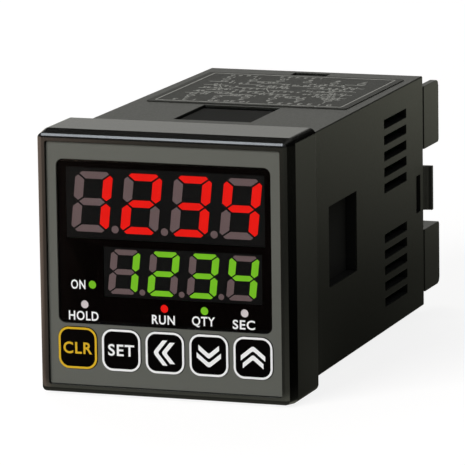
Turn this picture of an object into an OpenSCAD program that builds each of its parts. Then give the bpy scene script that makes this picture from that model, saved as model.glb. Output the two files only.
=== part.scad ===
// Panel counter for a square panel cut-out.
// Millimetres, +X right, +Y into the panel, +Z up. The back of the bezel lies at y = 0.

/* [Front] */
// Width and height of the square front
front_w = 48; // [44:0.5:60]
// Depth of the bezel in front of the panel
bezel_d = 15; // [13:0.5:20]
// Width of the rim around the front sheet
rim_w = 1.8; // [1.4:0.1:2.6]
// Corner radius of the bezel
corner_r = 1.3; // [1.3:0.1:4]
// How far the front edge is drawn in
edge_in = 1.2; // [0.4:0.1:1.2]
// Length of the drawn-in front edge
edge_run = 3.6; // [2:0.1:5]
// Depth of the front sheet below the rim
sheet_drop = 0.6; // [0.3:0.1:1]
// Thickness of the front sheet
sheet_t = 0.5; // [0.3:0.1:0.8]
// Thickness of the bezel's front plate
plate_t = 1.5; // [1.2:0.1:2]

/* [Window] */
// Distance from the sheet's side edges to the window
window_side = 1.95; // [1.2:0.05:3]
// Distance from the sheet's top edge to the window
window_top = 3.25; // [2.4:0.05:4]
// Distance from the window to the keys
window_gap = 0.8; // [0.6:0.05:1.5]
// Corner radius of the window
window_r = 1.3; // [0.5:0.1:2]
// Thickness of the window
window_t = 0.8; // [0.6:0.1:1]
// Thickness of the mask behind the window
mask_t = 0.4; // [0.3:0.1:0.5]

/* [Digits] */
// Height of the upper digits, as a share of the window's height
red_share = 0.368; // [0.3:0.002:0.37]
// Width of an upper digit, as a share of its height
red_lean = 0.65; // [0.5:0.01:0.66]
// Width of the upper display, as a share of the window's width
red_row_share = 0.928; // [0.9:0.002:0.93]
// Height of the lower digits, as a share of the window's height
green_share = 0.2725; // [0.23:0.0025:0.275]
// Width of a lower digit, as a share of its height
green_lean = 0.687; // [0.5:0.01:0.7]
// Width of the lower display, as a share of the window's width
green_row_share = 0.74; // [0.7:0.002:0.745]
// Slant of the digits
slant = 6; // [0:0.5:8]
// Diameter of the indicator lamps
lamp_dia = 1.45; // [1.2:0.05:1.7]

/* [Keys] */
// Space between two keys
key_space = 1.2; // [1:0.05:1.8]
// How much taller than wide a key is
key_extra = 0.25; // [0:0.05:0.4]
// Corner radius of a key
key_r = 1.9; // [0.6:0.1:2.4]
// Distance from the sheet's bottom edge to the keys
key_margin = 3.1; // [2.8:0.05:3.4]
// Gap around a key
key_gap = 0.2; // [0.15:0.01:0.25]
// Travel of a key
key_travel = 0.3; // [0.2:0.05:0.4]

/* [Case] */
// How far the bezel stands out past the case
case_step = 1.6; // [1.4:0.1:2.2]
// Length of the case behind the bezel
case_l = 72.5; // [68:0.5:90]
// How much narrower the case is at the rear, on each side
case_draft = 0.9; // [0:0.1:1]
// Wall thickness of the case's top and bottom
wall_t = 2.2; // [2:0.1:2.6]
// Width of the square openings
port_w = 15; // [10:0.5:16]
// Distance from the bezel to the square openings
port_y = 12; // [10:0.5:14]
// Length of the square openings
port_l = 17; // [10:0.5:17.5]
// Vent slots in each group
vent_n = 5; // [2:1:5]
// Spacing of the vent slots
vent_pitch = 3.05; // [2.6:0.05:3.1]
// Height of a vent slot
vent_h = 1.75; // [1:0.05:1.9]
// Length of a vent slot
vent_l = 14.5; // [8:0.5:16]
// Thickness of the panel gasket
gasket_t = 1; // [0.5:0.1:1.5]
// Thickness of the wiring label
label_t = 0.12; // [0.1:0.01:0.2]

/* [Terminals] */
// Length of the neck between the case and the terminal rows
neck = 1.4; // [0.6:0.1:2]
// Terminals in each row
term_n = 6; // [4:1:6]
// How far the terminal rows stand out behind the neck
term_out = 9.5; // [8:0.1:12]
// Height of a terminal row
term_h = 12.2; // [12:0.1:12.6]
// Thickness of the barriers between terminals
barrier_t = 0.9; // [0.8:0.05:1.1]
// Diameter of the terminal screws
screw_dia = 3; // [2.5:0.1:3]
// Diameter of the screw heads
head_dia = 5.2; // [4.6:0.1:5.3]

/* [Inside] */
// Thickness of the circuit boards
board_t = 1.6; // [1:0.1:2]
// Height of the digit bodies on the display board
body_d = 6.45; // [6:0.05:7]
// Length of the transformer
trafo_l = 18; // [14:0.5:20]
// Height of the transformer
trafo_h = 24; // [20:0.5:26]
// Diameter of the main capacitor
cap_dia = 10; // [6:0.5:10]
// Length of the main capacitor
cap_l = 20; // [12:0.5:22]
// Length of the relay
relay_l = 20; // [15:0.5:22]
// Height of the relay
relay_h = 16; // [10:0.5:18]

/* [Hidden] */
$fn = 48;
e = 0.5;
half = front_w / 2;
sheet_half = half - rim_w;
y_front = -bezel_d;
y_sheet = y_front + sheet_drop;
y_plate = y_sheet + sheet_t;
y_inner = y_plate + plate_t;
y_pane = y_sheet + window_t;
y_ledge = y_pane + mask_t;
fit = 0.05;
win_w = 2 * (sheet_half - window_side);
key_w = (win_w - 4 * key_space) / 5;
key_h = key_w + key_extra;
window_h = 2 * sheet_half - window_top - window_gap - key_h - key_margin;
win_z = sheet_half - window_top - window_h / 2;
ledge_w = 0.85;
bez_in = half - 2.6;
y_face = y_pane + 0.25;
face_t = 0.6;
y_board = y_face + body_d;
y_back = y_board + board_t;
post_w = 3.4;
red_h = red_share * window_h;
red_w = red_lean * red_h;
red_bw = red_row_share * win_w;
red_bh = red_h * 1.173;
red_pitch = red_bw / 4;
red_x = 0;
red_z = win_z + window_h * 0.449 - red_bh / 2;
green_h = green_share * window_h;
green_w = green_lean * green_h;
green_bw = green_row_share * win_w;
green_bh = green_h * 1.117;
green_pitch = green_bw / 4;
green_x = red_bw / 2 - green_bw / 2 - win_w * 0.016;
green_z = red_z - red_bh / 2 - window_h * 0.046 - green_bh / 2;
key_pitch = key_w + key_space;
key_z = -sheet_half + key_margin + key_h / 2;
y_key = y_sheet - 0.2;
flange_t = 0.6;
flange_out = 0.4;
y_flange = y_inner + key_gap;
sw_w = 6;
sw_h = 3.4;
y_sw = y_board - sw_h;
plunger_d = 3.2;
stem_d = 4;
y_stem = y_sw - 0.7;
lamp_z = win_z - window_h * 0.389;
case_half = half - case_step;
rear_half = case_half - case_draft;
in_x = rear_half - 1.6;
in_z = case_half - wall_t;
tongue_t = 1.5;
tongue_gap = 0.1;
hook_deep = 0.45;
tongue_w = port_w + 1.5;
tongue_l = port_y + port_l + 2;
slot_y = case_l - 5.1;
slot_l = 2.8;
slot_w = 7.2;
vent_y = port_y + port_l + 17.6;
vent_z = 4.8;
label_y = port_y + port_l + 1.4;
label_l = slot_y - 0.8 - label_y;
label_w = 2 * rear_half - 3.6;
plug_gap = 0.15;
plug_x = in_x - plug_gap;
plug_z = in_z - plug_gap;
plug_t = 2;
y_plug = case_l - plug_t;
y_block = case_l + neck;
rear_c = 0.5;
block_half = rear_half - 0.3;
term_z0 = 7.9;
term_z1 = term_z0 + term_h;
end_wall = 1.3;
bay_w = (2 * block_half - 2 * end_wall - (term_n - 1) * barrier_t) / term_n;
bay_pitch = bay_w + barrier_t;
floor_t = 2.5;
y_floor = y_block + floor_t;
lip_t = 1.5;
tab_t = 0.8;
clamp_t = 0.9;
clamp_w = min(5.3, bay_w - 0.3);
screw_z = term_z0 + lip_t + 0.4 + clamp_w / 2;
head_h = 2;
pin_z = term_z1 - 2.4;
rear_t = board_t;
y_rear = y_plug - rear_t;
arm_w = slot_w - 0.8;
side_t = board_t;
side_x = in_x * 0.7;
trafo_t = side_x * 0.79;
relay_t = side_x * 0.86;
side_h = 2 * (in_z - 3);
side_l = y_rear - y_back;

// Extrudes an outline in X and Z along the depth, from y0 to y1.
module deep(y0, y1) {
  translate([0, y1, 0])
    rotate([90, 0, 0])
      linear_extrude(height = y1 - y0)
        children();
}

// Extrudes an outline in X and Y along the height.
module tall(z0, z1) {
  translate([0, 0, z0])
    linear_extrude(height = z1 - z0)
      children();
}

// Extrudes an outline in Y and Z along the width.
module wide(x0, x1) {
  translate([x0, 0, 0])
    rotate([90, 0, 90])
      linear_extrude(height = x1 - x0)
        children();
}

// Box between two corners.
module span(a, b) {
  translate(a)
    cube([b[0] - a[0], b[1] - a[1], b[2] - a[2]]);
}

// Round bar along the depth.
module bar(x, z, d, y0, y1) {
  translate([x, y0, z])
    rotate([-90, 0, 0])
      cylinder(d = d, h = y1 - y0);
}

// Rectangle with round corners, centred.
module soft_rect(w, h, r) {
  square([w - 2 * r, h], center = true);
  square([w, h - 2 * r], center = true);
  for (sx = [-1, 1])
    for (sy = [-1, 1])
      translate([sx * (w / 2 - r), sy * (h / 2 - r)])
        circle(r = r);
}

// Points of the drawn-in front edge, from the side to the front: a long slope, then two short bevels.
function edge_points(x) = [[x, y_front + edge_run], [x - edge_in * 0.37, y_front + edge_in * 0.18],
  [x - edge_in * 0.74, y_front + edge_in * 0.04], [x - edge_in, y_front]];

// Both front edges of the bezel, seen along one of its sides.
function flip(p) = [for (k = [len(p) - 1:-1:0]) [-p[k][0], p[k][1]]];
function edge_outline() = concat([[half, 0]], edge_points(half), flip(edge_points(half)), [[-half, 0]]);

// Solid block with the outer shape of the bezel.
module bezel_block() {
  m = half - corner_r;
  tall(-m, m)
    polygon(edge_outline());
  rotate([0, 90, 0])
    tall(-m, m)
      polygon(edge_outline());
  for (sx = [-1, 1])
    for (sz = [-1, 1])
      translate([sx * m, 0, sz * m])
        rotate([-90, 0, 0])
          rotate_extrude()
            polygon(concat([[0, y_front], [0, 0], [corner_r, 0]], edge_points(corner_r)));
}

// Hook of a side tongue: a short wedge that catches the front edge of the case's opening.
module narrow_hook(out) {
  tall(-port_w / 2 + 3, port_w / 2 - 3)
    polygon([[out - e, port_y + 0.15], [out + 1.1, port_y + 0.15], [out + 1.1, port_y + 0.9],
      [out, port_y + 3], [out - e, port_y + 3]]);
}

// Hook of the upper and lower tongues: it fills the opening, a little below the skin of the case.
module broad_hook(out) {
  top = case_half - hook_deep;
  y_end = port_y + port_l - 0.3;
  tall(-port_w / 2 + 0.3, port_w / 2 - 0.3)
    polygon([[out - e, port_y + 0.15], [top, port_y + 0.15], [top, y_end - 1.2], [(out + top) / 2, y_end],
      [out - e, y_end]]);
}

// One tongue of the bezel, on the +X side.
module tongue(out) {
  span([out - tongue_t, -4, -tongue_w / 2], [bez_in + e, 0, tongue_w / 2]);
  span([out - tongue_t, -e, -tongue_w / 2], [out, tongue_l, tongue_w / 2]);
}

module front_bezel() {
  color([0.12, 0.12, 0.12]) {
    difference() {
      bezel_block();
      deep(y_front - e, y_plate)
        soft_rect(2 * sheet_half, 2 * sheet_half, 0.4);
      deep(y_inner, e)
        square(2 * bez_in, center = true);
      translate([0, 0, win_z])
        deep(y_plate - e, y_ledge)
          soft_rect(win_w + 2 * fit, window_h + 2 * fit, window_r + fit);
      translate([0, 0, win_z])
        deep(y_ledge - e, y_inner + e)
          square([win_w - 2 * ledge_w, window_h - 2 * ledge_w], center = true);
      for (k = [-2:2])
        translate([k * key_pitch, 0, key_z])
          deep(y_plate - e, y_inner + e)
            soft_rect(key_w + 2 * key_gap, key_h + 2 * key_gap, key_r + key_gap);
    }
    for (sx = [-1, 1]) {
      mirror([sx < 0 ? 1 : 0, 0, 0])
        span([bez_in - post_w, y_inner - e, bez_in - 2.2], [bez_in + e, y_board, bez_in + e]);
      mirror([sx < 0 ? 1 : 0, 0, 0])
        span([bez_in - post_w, y_inner - e, -bez_in - e], [bez_in + e, y_board, -bez_in + 1.6]);
      mirror([sx < 0 ? 1 : 0, 0, 0])
        tongue(in_x - tongue_gap);
      mirror([sx < 0 ? 1 : 0, 0, 0])
        narrow_hook(in_x - tongue_gap);
      rotate([0, sx * 90, 0])
        tongue(in_z - tongue_gap);
      rotate([0, sx * 90, 0])
        broad_hook(in_z - tongue_gap);
    }
  }
}

module front_sheet() {
  w = 2 * (sheet_half - fit);
  color([0.38, 0.385, 0.36])
    deep(y_sheet, y_plate)
      difference() {
        soft_rect(w, w, 0.35);
        translate([0, win_z])
          soft_rect(win_w + 2 * fit, window_h + 2 * fit, window_r + fit);
        for (k = [-2:2])
          translate([k * key_pitch, key_z])
            soft_rect(key_w + 2 * key_gap, key_h + 2 * key_gap, key_r + key_gap);
      }
}

module display_window() {
  color([0.05, 0.05, 0.05, 0.5])
    translate([0, 0, win_z])
      deep(y_sheet, y_pane)
        soft_rect(win_w, window_h, window_r);
}

// Places of the five lamps, in X and Z.
function lamp_at(k) = [win_w * [-0.348, -0.386, -0.01, 0.178, 0.365][k],
  k == 0 ? green_z - window_h * 0.085 : lamp_z];

module display_mask() {
  color([0.02, 0.02, 0.02])
    deep(y_pane, y_ledge)
      difference() {
        translate([0, win_z])
          square([win_w - 0.2, window_h - 0.2 - 2 * window_r * 0.3], center = true);
        translate([red_x, red_z])
          square([red_bw + 0.2, red_bh + 0.2], center = true);
        translate([green_x, green_z])
          square([green_bw + 0.2, green_bh + 0.2], center = true);
        for (k = [0:4])
          translate(lamp_at(k))
            circle(d = lamp_dia + 0.1);
      }
}

module panel_gasket() {
  color([0.07, 0.07, 0.07])
    deep(0, gasket_t)
      difference() {
        soft_rect(2 * half - 1.2, 2 * half - 1.2, corner_r - 0.6);
        square(2 * case_half + 0.1, center = true);
      }
}

// Outline of one segment: a to g are 0 to 6.
function seg(k, w, h, v, t, g) =
  k == 0 ? [[g + v * 0.55, h], [w - g - v * 0.55, h], [w - g - v * 0.3, h - t * 0.3], [w - v - g, h - t],
    [v + g, h - t], [g + v * 0.3, h - t * 0.3]] :
  k == 3 ? [for (p = seg(0, w, h, v, t, g)) [p[0], h - p[1]]] :
  k == 6 ? [[v / 2 + g, h / 2], [v + g, h / 2 + t / 2], [w - v - g, h / 2 + t / 2], [w - v / 2 - g, h / 2],
    [w - v - g, h / 2 - t / 2], [v + g, h / 2 - t / 2]] :
  k == 5 ? [[0, h - g - t * 0.65], [v * 0.3, h - g - t * 0.3], [v, h - t - g], [v, h / 2 + t / 2 + g],
    [v / 2, h / 2 + g], [0, h / 2 + t / 2 + g]] :
  k == 4 ? [for (p = seg(5, w, h, v, t, g)) [p[0], h - p[1]]] :
  k == 1 ? [for (p = seg(5, w, h, v, t, g)) [w - p[0], p[1]]] :
  [for (p = seg(4, w, h, v, t, g)) [w - p[0], p[1]]];

function lean(p, w, h) = [for (q = p) [q[0] - w / 2 + (q[1] - h / 2) * tan(slant), q[1] - h / 2]];

// Segments that are lit for the digits one to four.
lit = [[1, 2], [0, 1, 6, 4, 3], [0, 1, 6, 2, 3], [5, 6, 1, 2]];

// Segments and points of a row of four digits: state 1 is lit, 0 is dark, 2 is every one.
module segments(x, z, w, h, pitch, v, t, state) {
  for (d = [0:3])
    for (k = [0:(d < 3 ? 7 : 6)])
      if (state == 2 || (len(search(k, lit[d])) > 0) == (state == 1))
        translate([x + (d - 1.5) * pitch, z])
          if (k < 7)
            polygon(lean(seg(k, w, h, v, t, 0.14 * v), w, h));
          else
            translate([w / 2 + pitch * 0.08, t / 2 - h / 2])
              circle(d = 0.145 * pitch);
}

module red_row(state) {
  segments(red_x + red_w * 0.03, red_z + red_h * 0.02, red_w, red_h, red_pitch, red_w * 0.245,
    red_h * 0.118, state);
}

module green_row(state) {
  segments(green_x + green_w * 0.02, green_z + green_h * 0.01, green_w, green_h, green_pitch, green_w * 0.235,
    green_h * 0.122, state);
}

module red_display() {
  color([0.09, 0.09, 0.09])
    difference() {
      span([red_x - red_bw / 2, y_face, red_z - red_bh / 2],
        [red_x + red_bw / 2, y_board, red_z + red_bh / 2]);
      deep(y_face - e, y_face + face_t)
        red_row(2);
    }
}

module red_segments_lit() {
  color([0.9, 0.05, 0.04])
    deep(y_face, y_face + face_t)
      red_row(1);
}

module red_segments_dark() {
  color([0.35, 0.28, 0.28])
    deep(y_face, y_face + face_t)
      red_row(0);
}

module green_display() {
  color([0.09, 0.09, 0.09])
    difference() {
      span([green_x - green_bw / 2, y_face, green_z - green_bh / 2],
        [green_x + green_bw / 2, y_board, green_z + green_bh / 2]);
      deep(y_face - e, y_face + face_t)
        green_row(2);
    }
}

module green_segments_lit() {
  color([0.4, 0.72, 0.12])
    deep(y_face, y_face + face_t)
      green_row(1);
}

module green_segments_dark() {
  color([0.35, 0.28, 0.28])
    deep(y_face, y_face + face_t)
      green_row(0);
}

// Lamp number k: a round lens on a small base that stands on the display board.
module lamp(k) {
  p = lamp_at(k);
  bar(p[0], p[1], lamp_dia, y_face, y_board - 3);
  span([p[0] - 1, y_board - 3.4, p[1] - 0.9], [p[0] + 1, y_board, p[1] + 0.9]);
}

module lamp_on() {
  color([0.4, 0.72, 0.12])
    lamp(0);
}

module lamp_hold() {
  color([0.75, 0.7, 0.72])
    lamp(1);
}

module lamp_run() {
  color([0.9, 0.05, 0.04])
    lamp(2);
}

module lamp_count() {
  color([0.4, 0.72, 0.12])
    lamp(3);
}

module lamp_time() {
  color([0.75, 0.7, 0.72])
    lamp(4);
}

// Key cap number k: the face, the collar behind the bezel's plate and the stem down to the plunger.
module key_cap(k) {
  x = (k - 3) * key_pitch;
  color([0.03, 0.03, 0.03]) {
    translate([x, 0, key_z])
      deep(y_key, y_flange + flange_t)
        soft_rect(key_w, key_h, key_r);
    translate([x, 0, key_z])
      deep(y_flange, y_flange + flange_t)
        square([key_w + 2 * flange_out, key_h + 2 * flange_out], center = true);
    bar(x, key_z, stem_d, y_flange, y_stem);
  }
}

module key_clear() {
  key_cap(1);
}

module key_set() {
  key_cap(2);
}

module key_shift() {
  key_cap(3);
}

module key_down() {
  key_cap(4);
}

module key_up() {
  key_cap(5);
}

module switch_body(k) {
  x = (k - 3) * key_pitch;
  color([0.15, 0.15, 0.16])
    difference() {
      span([x - sw_w / 2, y_sw, key_z - sw_w / 2], [x + sw_w / 2, y_board, key_z + sw_w / 2]);
      bar(x, key_z, plunger_d + 0.4, y_sw - e, y_sw + 1.8);
    }
}

module plunger(k) {
  x = (k - 3) * key_pitch;
  color([0.85, 0.85, 0.82])
    bar(x, key_z, plunger_d, y_stem, y_sw + 1.8 - key_travel - 0.2);
}

module display_board() {
  color([0.05, 0.3, 0.12])
    span([-bez_in + 0.4, y_board, -bez_in + 0.4], [bez_in - 0.4, y_back, bez_in - 0.4]);
}

// Side outline of the case, seen from above, with its rear edges bevelled.
module case_plan(w0, w1) {
  w = w1 + (w0 - w1) * rear_c / case_l;
  y = case_l - rear_c;
  polygon([[-w0, 0], [w0, 0], [w, y], [w1 - rear_c, case_l], [rear_c - w1, case_l], [-w, y]]);
}

module case_sleeve() {
  c = 0.15;
  color([0.14, 0.14, 0.13])
    difference() {
      intersection() {
        tall(-case_half, case_half)
          case_plan(case_half, rear_half);
        rotate([0, 45, 0])
          tall(-100, 100)
            case_plan((2 * case_half - c) / sqrt(2), (case_half + rear_half - c) / sqrt(2));
        rotate([0, -45, 0])
          tall(-100, 100)
            case_plan((2 * case_half - c) / sqrt(2), (case_half + rear_half - c) / sqrt(2));
        rotate([0, 90, 0])
          tall(-half, half)
            case_plan(case_half, case_half);
      }
      span([-in_x, -e, -in_z], [in_x, case_l + e, in_z]);
      span([-half, port_y, -port_w / 2], [half, port_y + port_l, port_w / 2]);
      span([-port_w / 2, port_y, -half], [port_w / 2, port_y + port_l, half]);
      span([-half, slot_y, -slot_w / 2], [half, slot_y + slot_l, slot_w / 2]);
      span([-slot_w / 2, slot_y, -half], [slot_w / 2, slot_y + slot_l, half]);
      for (k = [0:vent_n - 1])
        for (s = [-1, 1])
          span([-half, vent_y, s * (vent_z + k * vent_pitch) - vent_h / 2],
            [half, vent_y + vent_l, s * (vent_z + k * vent_pitch) + vent_h / 2]);
    }
}

module wiring_label() {
  color([0.1, 0.1, 0.1])
    translate([0, label_y + label_l / 2, 0])
      tall(case_half, case_half + label_t)
        soft_rect(label_w, label_l, 0.8);
}

function bay_x(k) = (k - (term_n - 1) / 2) * bay_pitch;

// Latch arm of the terminal block, on the +X side.
module latch_arm(out) {
  span([out - 1.4, slot_y - 3.2, -arm_w / 2], [out, y_plug + e, arm_w / 2]);
  tall(-arm_w / 2, arm_w / 2)
    polygon([[out - e, slot_y + 0.2], [out, slot_y + 0.2], [out + 1.1, slot_y + slot_l - 0.5],
      [out + 1.1, slot_y + slot_l - 0.2], [out - e, slot_y + slot_l - 0.2]]);
}

// Flared finger tab at the rear end of a latch arm, on the +X side.
module latch_tab() {
  o = plug_x;
  y = y_block;
  tall(-4.3, 4.3)
    polygon([[o - 1.5, y - e], [o, y - e], [o, y + 0.2], [o + 0.12, y + 0.65], [o + 0.5, y + 1.1],
      [o + 1.1, y + 1.42], [o + 1.8, y + 1.6], [o + 2.45, y + 1.65], [o + 2.45, y + 2.5], [o + 1.6, y + 2.55],
      [o + 0.5, y + 2.4], [o - 0.5, y + 1.95], [o - 1.2, y + 1.2], [o - 1.5, y + 0.4]]);
}

// One row of terminals above the middle.
module terminal_row() {
  y1 = y_block + term_out;
  difference() {
    wide(-block_half, block_half)
      polygon([[y_block, term_z0], [y1 - 0.4, term_z0], [y1, term_z0 + 0.4], [y1, term_z1 - 1.2],
        [y1 - 0.35, term_z1 - 0.35], [y1 - 1.2, term_z1], [y_block, term_z1]]);
    for (k = [0:term_n - 1]) {
      span([bay_x(k) - bay_w / 2, y_floor, term_z0 + lip_t], [bay_x(k) + bay_w / 2, y1 + e, term_z1 + e]);
      bar(bay_x(k), screw_z, screw_dia + 0.1, y_plug + 1, y_floor + e);
      span([bay_x(k) - 0.7, y_block - e, pin_z - 0.5], [bay_x(k) + 0.7, y_floor + e, pin_z + 0.5]);
    }
  }
}

module terminal_block() {
  color([0.13, 0.13, 0.125]) {
    difference() {
      span([-plug_x, y_plug, -plug_z], [plug_x, y_block + 0.01, plug_z]);
      for (s = [-1, 1])
        for (k = [0:term_n - 1]) {
          bar(bay_x(k), s * screw_z, screw_dia + 0.1, y_plug + 1, y_block + e);
          span([bay_x(k) - 0.7, y_plug - e, s * pin_z - 0.5], [bay_x(k) + 0.7, y_block + e, s * pin_z + 0.5]);
        }
    }
    for (s = [0, 1]) {
      mirror([0, 0, s])
        terminal_row();
      mirror([s, 0, 0])
        latch_arm(plug_x);
      mirror([s, 0, 0])
        latch_tab();
      rotate([0, s * 180 + 90, 0])
        latch_arm(plug_z);
    }
  }
}

module terminal_plates() {
  color([0.75, 0.72, 0.62])
    for (s = [-1, 1])
      for (k = [0:term_n - 1])
        difference() {
          union() {
            translate([bay_x(k), 0, s * (term_z0 + lip_t + 0.1 + 4.9)])
              deep(y_floor, y_floor + tab_t)
                square([bay_w - 0.2, 9.8], center = true);
            span([bay_x(k) - 0.6, y_rear - 0.8, s * pin_z - 0.4],
              [bay_x(k) + 0.6, y_floor + tab_t / 2, s * pin_z + 0.4]);
          }
          bar(bay_x(k), s * screw_z, screw_dia + 0.1, y_floor - e, y_floor + tab_t + e);
        }
}

module terminal_clamps() {
  color([0.8, 0.8, 0.78])
    for (s = [-1, 1])
      for (k = [0:term_n - 1])
        translate([bay_x(k), 0, s * screw_z])
          deep(y_floor + tab_t, y_floor + tab_t + clamp_t)
            difference() {
              square(clamp_w, center = true);
              circle(d = screw_dia + 0.2);
            }
}

module terminal_screws() {
  y0 = y_floor + tab_t + clamp_t;
  color([0.82, 0.82, 0.8])
    for (s = [-1, 1])
      for (k = [0:term_n - 1])
        difference() {
          union() {
            bar(bay_x(k), s * screw_z, screw_dia, y_block + 0.6, y0 + e);
            bar(bay_x(k), s * screw_z, head_dia, y0, y0 + head_h);
          }
          translate([bay_x(k), y0 + head_h, s * screw_z])
            cube([3.2, 2, 0.7], center = true);
          translate([bay_x(k), y0 + head_h, s * screw_z])
            cube([0.7, 2, 3.2], center = true);
        }
}

module rear_board() {
  color([0.05, 0.3, 0.12])
    difference() {
      span([-plug_x + 1.8, y_rear, -plug_z + 1.8], [plug_x - 1.8, y_plug, plug_z - 1.8]);
      for (s = [-1, 1])
        for (k = [0:term_n - 1])
          span([bay_x(k) - 0.7, y_rear - e, s * pin_z - 0.5], [bay_x(k) + 0.7, y_plug + e, s * pin_z + 0.5]);
    }
}

module power_board() {
  color([0.05, 0.3, 0.12])
    span([-side_x - side_t, y_back, -side_h / 2], [-side_x, y_rear, side_h / 2]);
}

module signal_board() {
  color([0.05, 0.3, 0.12])
    span([side_x, y_back, -side_h / 2], [side_x + side_t, y_rear, side_h / 2]);
}

// Window of the transformer's core, on one side of its middle limb.
trafo_y = y_back + side_l * 0.49;
limb = trafo_h / 8;
core_x = -side_x + limb * 0.6;
coil_x = -side_x + trafo_t + limb * 1.1;

module transformer_core() {
  color([0.3, 0.3, 0.32])
    difference() {
      span([core_x, trafo_y, -trafo_h / 2], [core_x + trafo_t, trafo_y + trafo_l, trafo_h / 2]);
      for (s = [-1, 1])
        translate([core_x + trafo_t / 2, trafo_y + trafo_l / 2, s * limb * 1.85])
          cube([trafo_t + 2 * e, trafo_l - 2 * limb, limb * 1.7], center = true);
    }
}

module transformer_winding() {
  y0 = trafo_y + limb + 0.1;
  y1 = trafo_y + trafo_l - limb - 0.1;
  color([0.75, 0.6, 0.2])
    difference() {
      span([-side_x, y0, -limb * 2.65], [coil_x, y1, limb * 2.65]);
      span([core_x - 0.05, y0 - e, -limb - 0.05], [core_x + trafo_t + 0.05, y1 + e, limb + 0.05]);
    }
}

module main_capacitor() {
  r = cap_dia / 2;
  color([0.1, 0.12, 0.3])
    translate([-side_x + r, y_back + side_l * 0.127, side_h * 0.23])
      rotate([-90, 0, 0])
        rotate_extrude()
          polygon([[0, 0], [r * 0.92, 0], [r, r * 0.08], [r, r * 0.48], [r * 0.92, r * 0.58], [r, r * 0.68],
            [r, cap_l - r * 0.08], [r * 0.92, cap_l], [0, cap_l]]);
}

module film_capacitor() {
  color([0.7, 0.2, 0.1])
    translate([-side_x, y_back + side_l * 0.154, -side_h * 0.38])
      cube([cap_dia * 0.7, cap_l * 0.85, side_h * 0.26]);
}

module rectifier() {
  color([0.08, 0.08, 0.08])
    translate([-side_x, y_back + side_l * 0.81, -side_h * 0.13])
      cube([cap_dia * 0.45, side_l * 0.12, side_h * 0.26]);
}

module relay() {
  c = relay_t * 0.05;
  y0 = y_back + side_l * 0.6;
  color([0.9, 0.75, 0.2])
    difference() {
      span([side_x - relay_t, y0, -relay_h * 0.56], [side_x, y0 + relay_l, relay_h * 0.44]);
      span([side_x - relay_t - e, y0 - e, -relay_h * 0.56 - e],
        [side_x - relay_t + c, y0 + relay_l + e, c - relay_h * 0.56]);
      span([side_x - relay_t - e, y0 - e, relay_h * 0.44 - c],
        [side_x - relay_t + c, y0 + relay_l + e, relay_h * 0.44 + e]);
    }
}

module isolators() {
  color([0.85, 0.85, 0.85])
    for (k = [0:2])
      translate([side_x, y_back + side_l * (0.26 + 0.096 * k), -side_h * 0.17])
        mirror([1, 0, 0])
          cube([side_h * 0.1, side_l * 0.063, side_h * 0.19]);
}

module processor() {
  w = bez_in * 0.58;
  color([0.06, 0.06, 0.06])
    translate([-w / 2, y_back, -w * 0.4])
      cube([w, board_t, w]);
}

module power_link() {
  color([0.05, 0.05, 0.05])
    span([-side_x, y_back, -side_h * 0.4], [-side_x + side_t * 1.6, y_back + side_t * 1.6, side_h * 0.4]);
}

module signal_link() {
  color([0.05, 0.05, 0.05])
    span([side_x - side_t * 1.6, y_back, -side_h * 0.4], [side_x, y_back + side_t * 1.6, side_h * 0.4]);
}

front_bezel();
front_sheet();
display_window();
display_mask();
panel_gasket();
case_sleeve();
wiring_label();
terminal_block();
terminal_screws();
terminal_clamps();
terminal_plates();
display_board();
power_board();
signal_board();
rear_board();
red_display();
red_segments_lit();
red_segments_dark();
green_display();
green_segments_lit();
green_segments_dark();
lamp_on();
lamp_hold();
lamp_run();
lamp_count();
lamp_time();
key_clear();
key_set();
key_shift();
key_down();
key_up();
switch_body(1);  // switch_1
switch_body(2);  // switch_2
switch_body(3);  // switch_3
switch_body(4);  // switch_4
switch_body(5);  // switch_5
plunger(1);  // plunger_1
plunger(2);  // plunger_2
plunger(3);  // plunger_3
plunger(4);  // plunger_4
plunger(5);  // plunger_5
transformer_core();
transformer_winding();
main_capacitor();
film_capacitor();
rectifier();
relay();
isolators();
processor();
power_link();
signal_link();
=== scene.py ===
import math

import bmesh
import bpy
from mathutils import Matrix, Vector


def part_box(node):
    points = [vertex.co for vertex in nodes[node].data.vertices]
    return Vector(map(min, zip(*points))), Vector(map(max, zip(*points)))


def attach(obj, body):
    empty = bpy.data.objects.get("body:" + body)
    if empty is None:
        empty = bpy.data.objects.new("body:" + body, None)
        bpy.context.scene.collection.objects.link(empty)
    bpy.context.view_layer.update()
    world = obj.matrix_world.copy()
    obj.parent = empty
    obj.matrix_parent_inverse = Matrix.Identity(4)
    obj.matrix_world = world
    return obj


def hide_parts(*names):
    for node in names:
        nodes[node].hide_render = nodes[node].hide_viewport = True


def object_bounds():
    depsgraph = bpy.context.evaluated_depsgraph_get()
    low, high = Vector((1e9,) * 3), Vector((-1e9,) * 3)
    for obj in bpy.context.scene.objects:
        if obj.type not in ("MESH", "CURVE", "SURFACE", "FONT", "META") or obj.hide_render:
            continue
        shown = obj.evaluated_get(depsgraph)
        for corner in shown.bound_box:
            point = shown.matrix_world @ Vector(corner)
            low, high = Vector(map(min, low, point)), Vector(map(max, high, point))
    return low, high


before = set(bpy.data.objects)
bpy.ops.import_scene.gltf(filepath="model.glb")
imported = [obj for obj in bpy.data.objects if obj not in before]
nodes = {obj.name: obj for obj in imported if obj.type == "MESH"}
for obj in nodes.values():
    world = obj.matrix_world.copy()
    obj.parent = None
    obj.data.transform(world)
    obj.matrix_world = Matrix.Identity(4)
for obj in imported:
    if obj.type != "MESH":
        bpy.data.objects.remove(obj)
cadLow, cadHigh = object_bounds()
scene = bpy.context.scene
scene.view_settings.view_transform = "Standard"
mm = 0.001


# Finishes

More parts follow.
